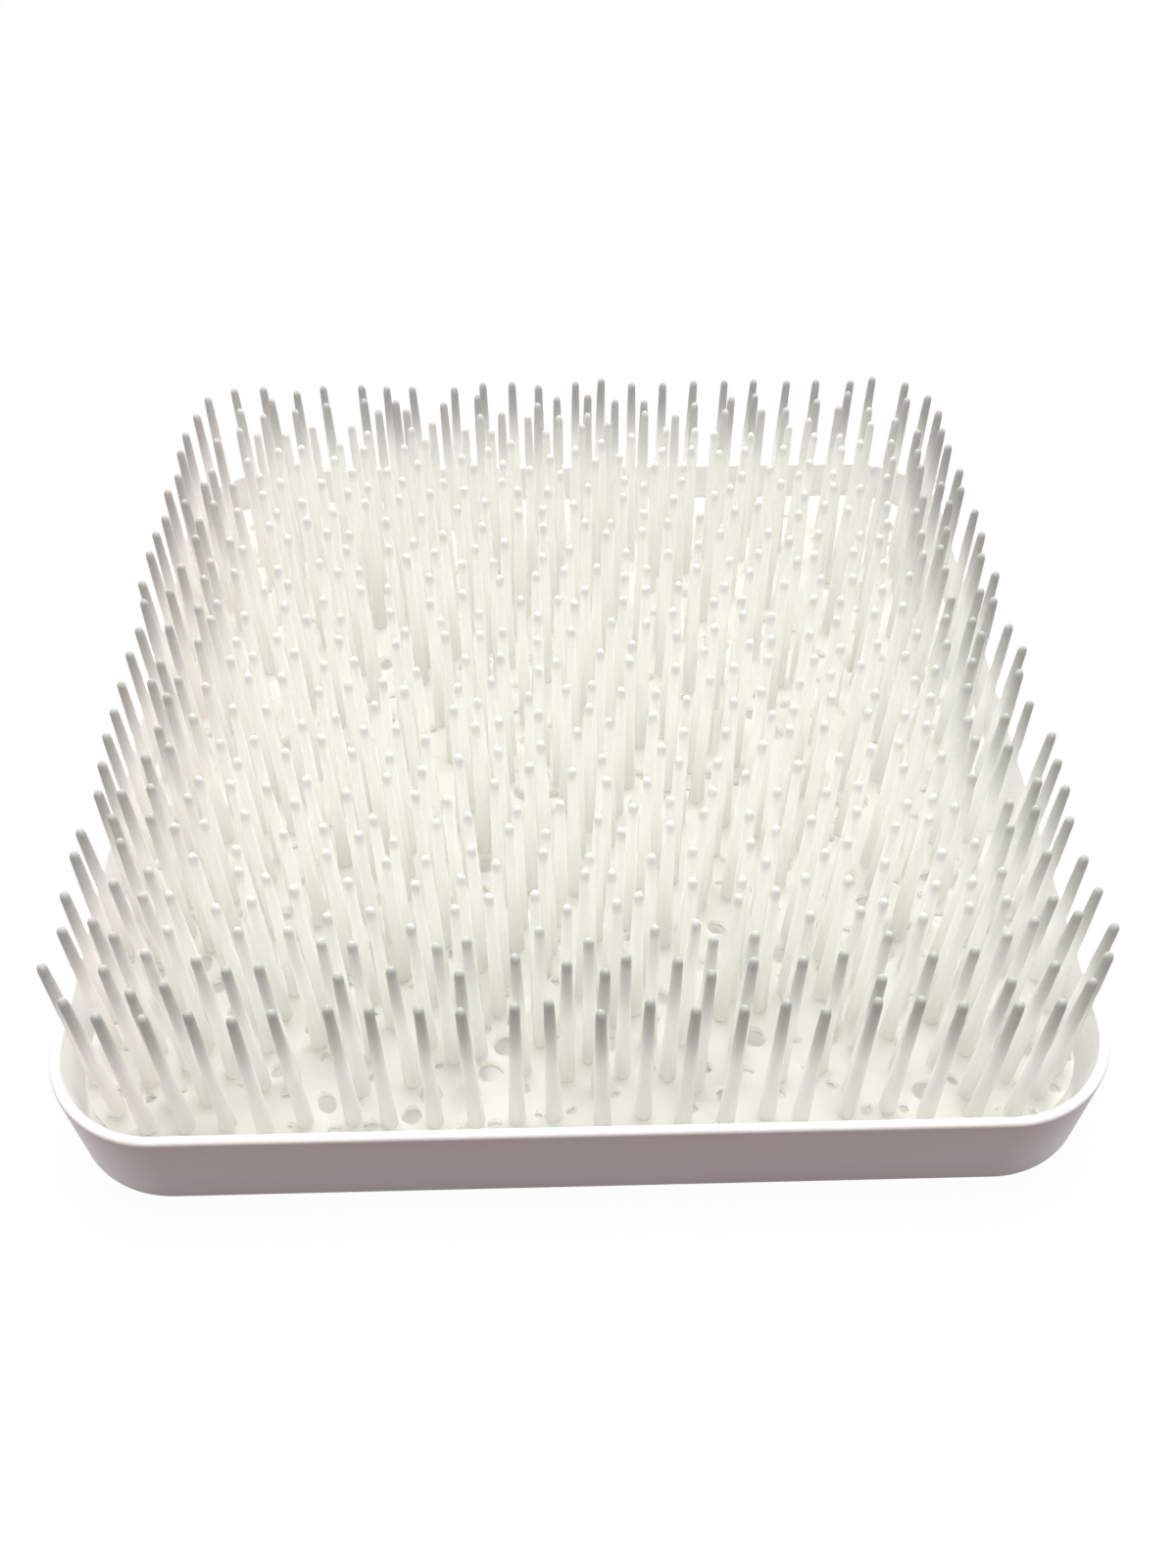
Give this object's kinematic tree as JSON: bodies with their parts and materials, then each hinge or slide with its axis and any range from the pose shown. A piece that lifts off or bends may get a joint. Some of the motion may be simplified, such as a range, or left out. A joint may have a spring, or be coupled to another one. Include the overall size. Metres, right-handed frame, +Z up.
{
  "type": "bottle drying rack",
  "caption": "Square countertop drying rack for bottles: upright flexible blades on a drained mat hold wet things above a drip tray with rounded corners.",
  "frame": {"origin": "middle of the drip tray's underside, on the surface that the rack stands on", "axes": "+Z up along the blades, +X and +Y along the tray's sides; the tray's front side faces -Y"},
  "size_m": [0.241, 0.241, 0.0625],
  "materials": {
    "tray_plastic": "white, smooth, glossy, opaque injection-moulded plastic",
    "blade_plastic": "frosted, milky, slightly translucent soft moulded plastic"
  },
  "bodies": {
    "root": {"drip_tray": "tray_plastic", "blade_mat": "blade_plastic"}
  },
  "joints": []
}
